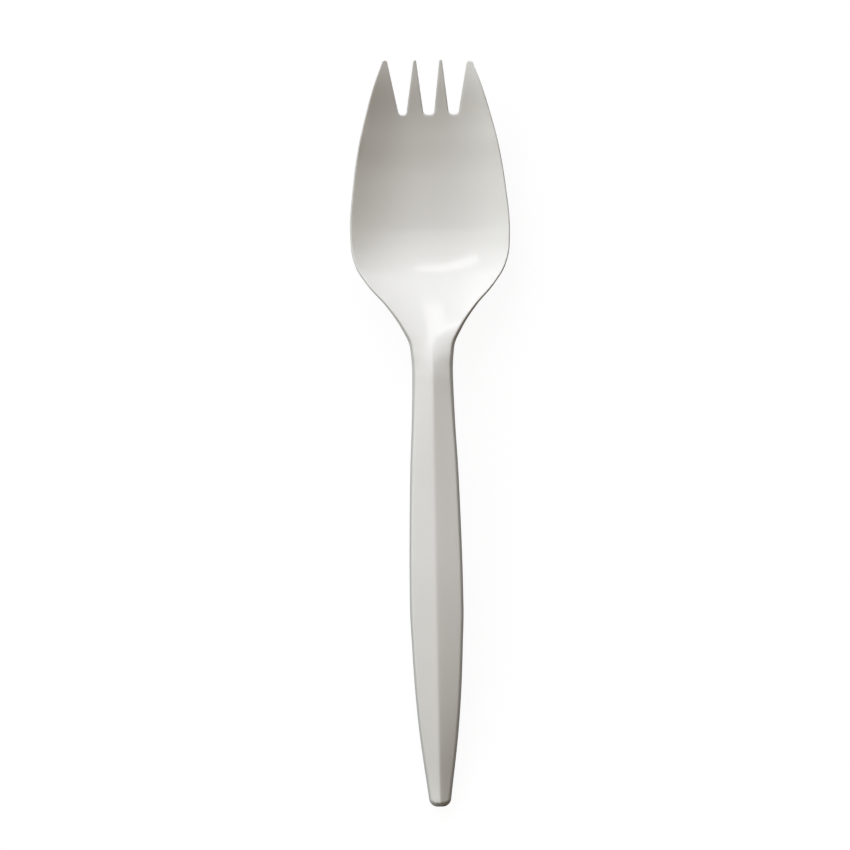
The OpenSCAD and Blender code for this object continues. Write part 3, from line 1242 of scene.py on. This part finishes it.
    @staticmethod
    def skin_tree(height: bpy.types.GeometryNodeTree, longest: float) -> bpy.types.GeometryNodeTree:
        """Makes the tree that lifts the flat skin to its heights and rounds its rim.

        Args:
            height: The rule for the height over a place.
            longest: Most that a rounding may take of the height of the rim.

        Returns:
            The tree.
        """
        skin = Tree(
            "spork_skin",
            {
                "Geometry": "NodeSocketGeometry",
                "Spine": "NodeSocketObject",
                **SIZE_SOCKETS,
                "Plastic": "NodeSocketMaterial",
            },
            {"Geometry": "NodeSocketGeometry"},
        )
        spine = skin.field("GeometryNodeObjectInfo", {"Object": skin.given("Spine")}, "Geometry")
        shared = {label: skin.given(label) for label in SIZE_SOCKETS}
        under = skin.attribute("under")
        across = skin.attribute("across", "FLOAT_VECTOR").parts()
        own = skin.field("GeometryNodeInputPosition")
        places = (own, *(skin.attribute(name, "FLOAT_VECTOR") for name in ("corner", "far")))
        faces = (under, under, 1.0 - under)
        roofs = (skin.attribute("roof_share"), 0.0, 0.0)
        points = []
        for place, face, share, roof in zip(places, faces, across, roofs):
            own_inputs = {"Place": place, "Under": face, "Across": share, "Roof share": roof}
            inputs = {"Spine": spine, **own_inputs, **shared}
            x, y, _ = place.parts()
            points.append((x, y, skin.field("GeometryNodeGroup", inputs, "Height", node_tree=height)))
        inner, corner, far = points
        gaps = [b - a for a, b in zip(corner, far)]
        distance = (gaps[0] * gaps[0] + gaps[1] * gaps[1] + gaps[2] * gaps[2]).root()
        reach = (skin.attribute("radius") / distance).least(longest)
        bend = skin.attribute("bend")
        bent = []
        for a, b, c in zip(inner, corner, far):
            past = mix(b, c, reach)
            bent.append(mix(mix(a, b, bend), mix(b, past, bend), bend))
        raised = {"Geometry": skin.given("Geometry"), "Position": skin.vector(*bent)}
        lifted = skin.field("GeometryNodeSetPosition", raised)
        smooth = skin.field("GeometryNodeSetShadeSmooth", {"Geometry": lifted})
        real = skin.field("GeometryNodeRealizeInstances", {"Geometry": smooth})
        finish = {"Geometry": real, "Material": skin.given("Plastic")}
        dressed = skin.field("GeometryNodeSetMaterial", finish)
        return skin.done(Geometry=dressed)

    def build(
        self, spine: bpy.types.Object, step: float, plastic: bpy.types.Material
    ) -> bpy.types.Object:
        """Builds the skin as one closed mesh.

        Args:
            spine: The row of points with the values of the cross sections.
            step: Distance between those points.
            plastic: The skin's material.

        Returns:
            The skin, at the origin.
        """
        values = {
            "Spine": spine,
            "Length": self.form.length,
            "Step": step,
            "Ridge radius": self.ridge_radius,
            "Skirt wall": self.form.skirt_wall,
            "Plastic": plastic,
        }
        tree = self.skin_tree(height_tree(), self.longest_round_share)
        mesh = grown(new_object("flat_skin", self.flat_mesh()), tree, values)
        mesh.name = "moulding"
        return new_object("moulding", mesh)


@dataclass(frozen=True)
class PlasticFinish:
    """Off-white moulded plastic: glossy, with a faint unevenness from the mould."""

    colour: Colour = (0.86, 0.85, 0.815)
    tint: Colour = (0.845, 0.832, 0.79)
    cloud_size: float = 14.0 * MM
    wave_size: float = 3.5 * MM
    grain_size: float = 0.25 * MM
    wave_depth: float = 0.01 * MM
    grain_depth: float = 0.001 * MM
    smoothest: float = 0.09
    roughest: float = 0.16
    cloud_detail: float = 3.0
    wave_detail: float = 2.0
    bending: float = 1.5
    translucency: float = 0.1
    scatter: float = 0.6 * MM
    scatter_colour: Colour = (1.0, 0.95, 0.85)

    def build(self, name: str) -> bpy.types.Material:
        """Makes the material.

        Args:
            name: Name of the material.

        Returns:
            The material.
        """
        material = bpy.data.materials.new(name)
        material.use_nodes = True
        tree = material.node_tree
        shader = tree.nodes["Principled BSDF"]
        place = tree.nodes.new("ShaderNodeTexCoord").outputs["Object"]

        def noise(size: float, detail: float) -> bpy.types.NodeSocket:
            """Adds a noise.

            Args:
                size: About how large its blotches are.
                detail: How many finer layers it has.

            Returns:
                The noise's socket.
            """
            node = tree.nodes.new("ShaderNodeTexNoise")
            node.inputs["Scale"].default_value = 1.0 / size
            node.inputs["Detail"].default_value = detail
            tree.links.new(place, node.inputs["Vector"])
            return node.outputs["Fac"]

        clouds = tree.nodes.new("ShaderNodeMix")
        clouds.data_type = "RGBA"
        clouds.inputs["A"].default_value = (*self.colour, 1.0)
        clouds.inputs["B"].default_value = (*self.tint, 1.0)
        tree.links.new(noise(self.cloud_size, self.cloud_detail), clouds.inputs["Factor"])
        tree.links.new(clouds.outputs["Result"], shader.inputs["Base Color"])
        gloss = tree.nodes.new("ShaderNodeMapRange")
        gloss.inputs["To Min"].default_value = self.smoothest
        gloss.inputs["To Max"].default_value = self.roughest
        tree.links.new(noise(self.wave_size, self.wave_detail), gloss.inputs["Value"])
        tree.links.new(gloss.outputs["Result"], shader.inputs["Roughness"])
        bumps = None
        for size, depth in ((self.wave_size, self.wave_depth), (self.grain_size, self.grain_depth)):
            bump = tree.nodes.new("ShaderNodeBump")
            bump.inputs["Distance"].default_value = depth
            tree.links.new(noise(size, self.wave_detail), bump.inputs["Height"])
            if bumps:
                tree.links.new(bumps, bump.inputs["Normal"])
            bumps = bump.outputs["Normal"]
        tree.links.new(bumps, shader.inputs["Normal"])
        shader.inputs["IOR"].default_value = self.bending
        shader.inputs["Subsurface Weight"].default_value = self.translucency
        shader.inputs["Subsurface Scale"].default_value = self.scatter
        shader.inputs["Subsurface Radius"].default_value = self.scatter_colour
        return material


@dataclass(frozen=True)
class Lamp:
    """A rectangular soft lamp, turned from +Y towards -X and raised from the floor, in degrees."""

    name: str
    turn: float
    rise: float
    width: float
    height: float
    power: float


@dataclass(frozen=True)
class Glow:
    """A soft glow of the sky, turned from +Y towards -X and raised from the floor, in degrees."""

    turn: float
    rise: float
    sharpness: float
    strength: float
    colour: Colour = WHITE


def direction(turn: float, rise: float) -> tuple[float, float, float]:
    """Gives the direction of a light.

    Args:
        turn: Degrees from +Y towards -X.
        rise: Degrees up from the floor.

    Returns:
        A vector of length 1.
    """
    round_by, up_by = math.radians(turn), math.radians(rise)
    level = math.cos(up_by)
    return -level * math.sin(round_by), level * math.cos(round_by), math.sin(up_by)


WINDOW = Lamp("window", 17.0, 39.0, 0.5, 0.13, 0.62)
GLOWS = (
    Glow(45.0, 35.0, 6.0, 2.6, (0.98, 1.0, 1.05)),
    Glow(0.0, 8.0, 8.0, 1.17, (0.9, 1.0, 1.6)),
    Glow(-30.0, 8.0, 8.0, 1.6, (0.95, 1.0, 0.85)),
    Glow(0.0, 35.0, 20.0, 0.84, (0.92, 1.0, 0.77)),
    Glow(180.0, 35.0, 20.0, 0.12, (1.0, 1.0, 0.75)),
    Glow(95.0, 4.0, 6.0, 0.75, (0.8, 1.0, 0.85)),
)


@dataclass
class Studio:
    """A pale floor, soft light from beyond the tines and from the left, and a camera overhead."""

    frame_width: float = 166.05 * MM
    aim_x: float = -1.66 * MM
    aim_y: float = 1.89 * MM
    aim_height: float = 5.0 * MM
    roll: float = math.radians(-1.03)
    lens: float = 300.0
    sensor: float = 36.0
    clip_distances: float = 10.0
    lamp_distance: float = 0.9
    fill: float = 0.03
    fill_colour: Colour = (2.1, 1.0, 0.2)
    floor_span: float = 8.0
    floor_colour: Colour = (0.25, 0.25, 0.25)
    floor_glow: float = 0.93
    floor_shade: Colour = (0.11, 0.11, 0.11)

    def camera(self) -> None:
        """Makes the camera, which looks straight down at the spork."""
        data = bpy.data.cameras.new("camera")
        data.sensor_width = self.sensor
        data.lens = self.lens
        made = new_object("camera", data)
        distance = self.frame_width * self.lens / self.sensor
        data.clip_end = self.clip_distances * distance
        made.location = (self.aim_x, self.aim_y, self.aim_height + distance)
        made.rotation_euler = (0.0, 0.0, self.roll)
        bpy.context.scene.camera = made

    def lamp(self, lamp: Lamp) -> None:
        """Makes a soft lamp that shines at the spork.

        Args:
            lamp: What the lamp is like.
        """
        data = bpy.data.lights.new(lamp.name, "AREA")
        data.shape = "RECTANGLE"
        data.size, data.size_y = lamp.width, lamp.height
        data.energy = lamp.power
        made = new_object(lamp.name, data)
        made.location = [self.lamp_distance * part for part in direction(lamp.turn, lamp.rise)]
        made.rotation_euler = (-made.location).to_track_quat("-Z", "Y").to_euler()

    @staticmethod
    def backdrop_share(tree: bpy.types.NodeTree) -> bpy.types.NodeSocket:
        """Gives 1 where a ray of the camera, a reflection or a clear material sees the backdrop.

        Args:
            tree: The tree of the backdrop's material or of the world.

        Returns:
            The socket with the value.
        """
        path = tree.nodes.new("ShaderNodeLightPath")
        seen = Field(tree, path.outputs["Is Camera Ray"])
        for label in ("Is Glossy Ray", "Is Transmission Ray"):
            seen = seen + Field(tree, path.outputs[label])
        return seen.least(1.0).socket

    @staticmethod
    def joined(
        tree: bpy.types.NodeTree, kind: str, *sources: bpy.types.NodeSocket
    ) -> bpy.types.NodeSocket:
        """Adds a node that joins shaders.

        Args:
            tree: The tree.
            kind: Type of the node.
            sources: What goes into its inputs, in order.

        Returns:
            The joined shader's socket.
        """
        node = tree.nodes.new(kind)
        for source, slot in zip(sources, node.inputs):
            tree.links.new(source, slot)
        return node.outputs[0]

    @staticmethod
    def glowing(
        tree: bpy.types.NodeTree, kind: str, colour: Colour, strength: Field | float
    ) -> bpy.types.NodeSocket:
        """Adds a shader that gives off light.

        Args:
            tree: The tree.
            kind: Type of the node.
            colour: Its colour.
            strength: Its strength.

        Returns:
            The shader's socket.
        """
        node = tree.nodes.new(kind)
        node.inputs["Color"].default_value = (*colour, 1.0)
        if isinstance(strength, Field):
            tree.links.new(strength.socket, node.inputs["Strength"])
        else:
            node.inputs["Strength"].default_value = strength
        return node.outputs[0]

    def world(self) -> None:
        """Makes a world of soft glows over a dim fill, with a white backdrop."""
        world = bpy.data.worlds.new("studio")
        world.use_nodes = True
        bpy.context.scene.world = world
        tree = world.node_tree
        tree.nodes.remove(tree.nodes["Background"])
        ray = tree.nodes.new("ShaderNodeTexCoord").outputs["Generated"]
        light = self.glowing(tree, "ShaderNodeBackground", self.fill_colour, self.fill)
        for glow in GLOWS:
            near = tree.nodes.new("ShaderNodeVectorMath")
            near.operation = "DOT_PRODUCT"
            tree.links.new(ray, near.inputs[0])
            near.inputs[1].default_value = direction(glow.turn, glow.rise)
            closeness = (Field(tree, near.outputs["Value"]) + 1.0) * 0.5
            level = closeness ** (2.0 * glow.sharpness) * glow.strength
            shine = self.glowing(tree, "ShaderNodeBackground", glow.colour, level)
            light = self.joined(tree, "ShaderNodeAddShader", light, shine)
        backdrop = self.glowing(tree, "ShaderNodeBackground", WHITE, 1.0)
        seen = self.joined(tree, "ShaderNodeMixShader", self.backdrop_share(tree), light, backdrop)
        tree.links.new(seen, tree.nodes["World Output"].inputs["Surface"])

    def floor(self) -> None:
        """Makes the floor: white to the camera, but for a faint shadow, and clear from below."""
        half = self.floor_span / 2
        signs = ((-1.0, -1.0), (1.0, -1.0), (1.0, 1.0), (-1.0, 1.0))
        corners = np.array([(half * x, half * y, 0.0) for x, y in signs])
        made = new_object("floor", new_mesh("floor", corners, np.array([(0, 1, 2, 3)]), {}))
        material = bpy.data.materials.new("floor")
        material.use_nodes = True
        tree = material.node_tree
        tree.nodes.remove(tree.nodes["Principled BSDF"])
        real, shade = (tree.nodes.new("ShaderNodeBsdfDiffuse") for _ in range(2))
        real.inputs["Color"].default_value = (*self.floor_colour, 1.0)
        shade.inputs["Color"].default_value = (*self.floor_shade, 1.0)
        glow = self.glowing(tree, "ShaderNodeEmission", WHITE, self.floor_glow)
        white = self.joined(tree, "ShaderNodeAddShader", shade.outputs[0], glow)
        camera = tree.nodes.new("ShaderNodeLightPath").outputs["Is Camera Ray"]
        choice = self.joined(tree, "ShaderNodeMixShader", camera, real.outputs[0], white)
        under = tree.nodes.new("ShaderNodeNewGeometry").outputs["Backfacing"]
        clear = tree.nodes.new("ShaderNodeBsdfTransparent").outputs[0]
        one_sided = self.joined(tree, "ShaderNodeMixShader", under, choice, clear)
        tree.links.new(one_sided, tree.nodes["Material Output"].inputs["Surface"])
        made.data.materials.append(material)
        made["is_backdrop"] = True

    def build(self) -> None:
        """Makes the whole studio."""
        self.camera()
        self.lamp(WINDOW)
        self.world()
        self.floor()
        bpy.context.scene.view_settings.view_transform = "Standard"


def main() -> None:
    """Builds the spork and its studio."""
    logging.basicConfig(level=logging.INFO, format="%(name)s: %(message)s")
    cad_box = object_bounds()
    low, high = cad_box
    form = Form(length=high.y - low.y, bowl_width=high.x - low.x, height=high.z - low.z)
    plastic = PlasticFinish().build("plastic")
    spine = Spine(form)
    guide = spine.build()
    skin = Moulding(form).build(guide, spine.step, plastic)
    bpy.data.objects.remove(guide)
    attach(skin, "root")
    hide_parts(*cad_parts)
    LOG.info("%s: %d points, %d faces", skin.name, len(skin.data.vertices), len(skin.data.polygons))
    Studio().build()


if __name__ == "__main__":
    main()
